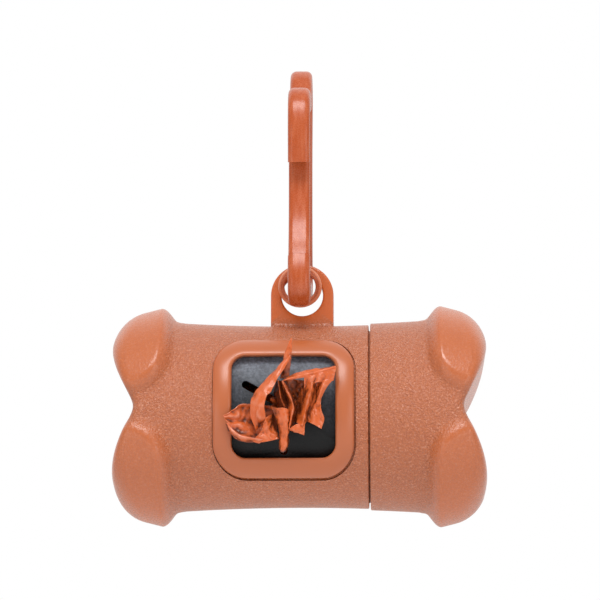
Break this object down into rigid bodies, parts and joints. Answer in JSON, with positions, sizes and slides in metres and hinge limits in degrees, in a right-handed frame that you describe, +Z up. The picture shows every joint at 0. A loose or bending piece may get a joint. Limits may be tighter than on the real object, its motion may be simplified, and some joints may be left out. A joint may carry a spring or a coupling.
{
  "type": "dog poop bag dispenser",
  "caption": "Bone-shaped plastic dispenser for a roll of waste bags, with a pull-off end cap, a framed window with a black slotted outlet, a bag end hanging out, and a plastic snap hook through its tab.",
  "frame": {"origin": "the point inside the hook's crown on which the dispenser hangs", "axes": "+X along the barrel towards its cap, -Y out of the window, +Z up"},
  "size_m": [0.0818, 0.0495, 0.1045],
  "materials": {
    "hook_plastic": "semi-gloss acetal, moulded",
    "shell_plastic": "fine grained satin",
    "bezel_plastic": "smooth satin",
    "outlet_plastic": "fine grained satin black",
    "bag_film": "thin crumpled film, satin",
    "core_board": "plain wound paper board"
  },
  "bodies": {
    "hook": {"hook_frame": "hook_plastic"},
    "gate": {"hook_gate": "hook_plastic"},
    "ring": {"retaining_ring": "hook_plastic"},
    "dispenser": {"barrel_shell": "shell_plastic", "window_bezel": "bezel_plastic", "outlet_plate": "outlet_plastic"},
    "cap": {"end_cap": "shell_plastic"},
    "roll": {"bag_roll": "bag_film", "roll_core": "core_board"},
    "bag_end": {"bag_neck": "bag_film", "bag_tuft": "bag_film"}
  },
  "joints": [
    {"name": "dispenser_swing", "type": "hinge", "parent": "hook", "child": "dispenser", "pos_m": [0.0003, 0, -0.0413], "axis": [0, 1, 0], "range_deg": [-60, 60]},
    {"name": "gate_flex", "type": "hinge", "parent": "hook", "child": "gate", "pos_m": [0, -0.01119, -0.03524], "axis": [-1, 0, 0], "range_deg": [0, 22], "stiffness_Nm_per_rad": 0.08},
    {"name": "ring_tilt", "type": "hinge", "parent": "hook", "child": "ring", "pos_m": [0, -0.00422, -0.03985], "axis": [1, 0, 0], "range_deg": [0, 27]},
    {"name": "cap_pull", "type": "slide", "parent": "dispenser", "child": "cap", "axis": [1, 0, 0], "range_m": [0, 0.03]},
    {"name": "roll_spin", "type": "hinge", "parent": "dispenser", "child": "roll", "pos_m": [0, 0, -0.07295], "axis": [1, 0, 0], "range_deg": [0, 25]},
    {"name": "bag_pull", "type": "slide", "parent": "dispenser", "child": "bag_end", "axis": [0, -1, 0], "range_m": [0, 0.0055]}
  ],
  "couplings": [
    {"joint": "bag_pull", "follows": "roll_spin", "m_per_rad": 0.0125}
  ]
}
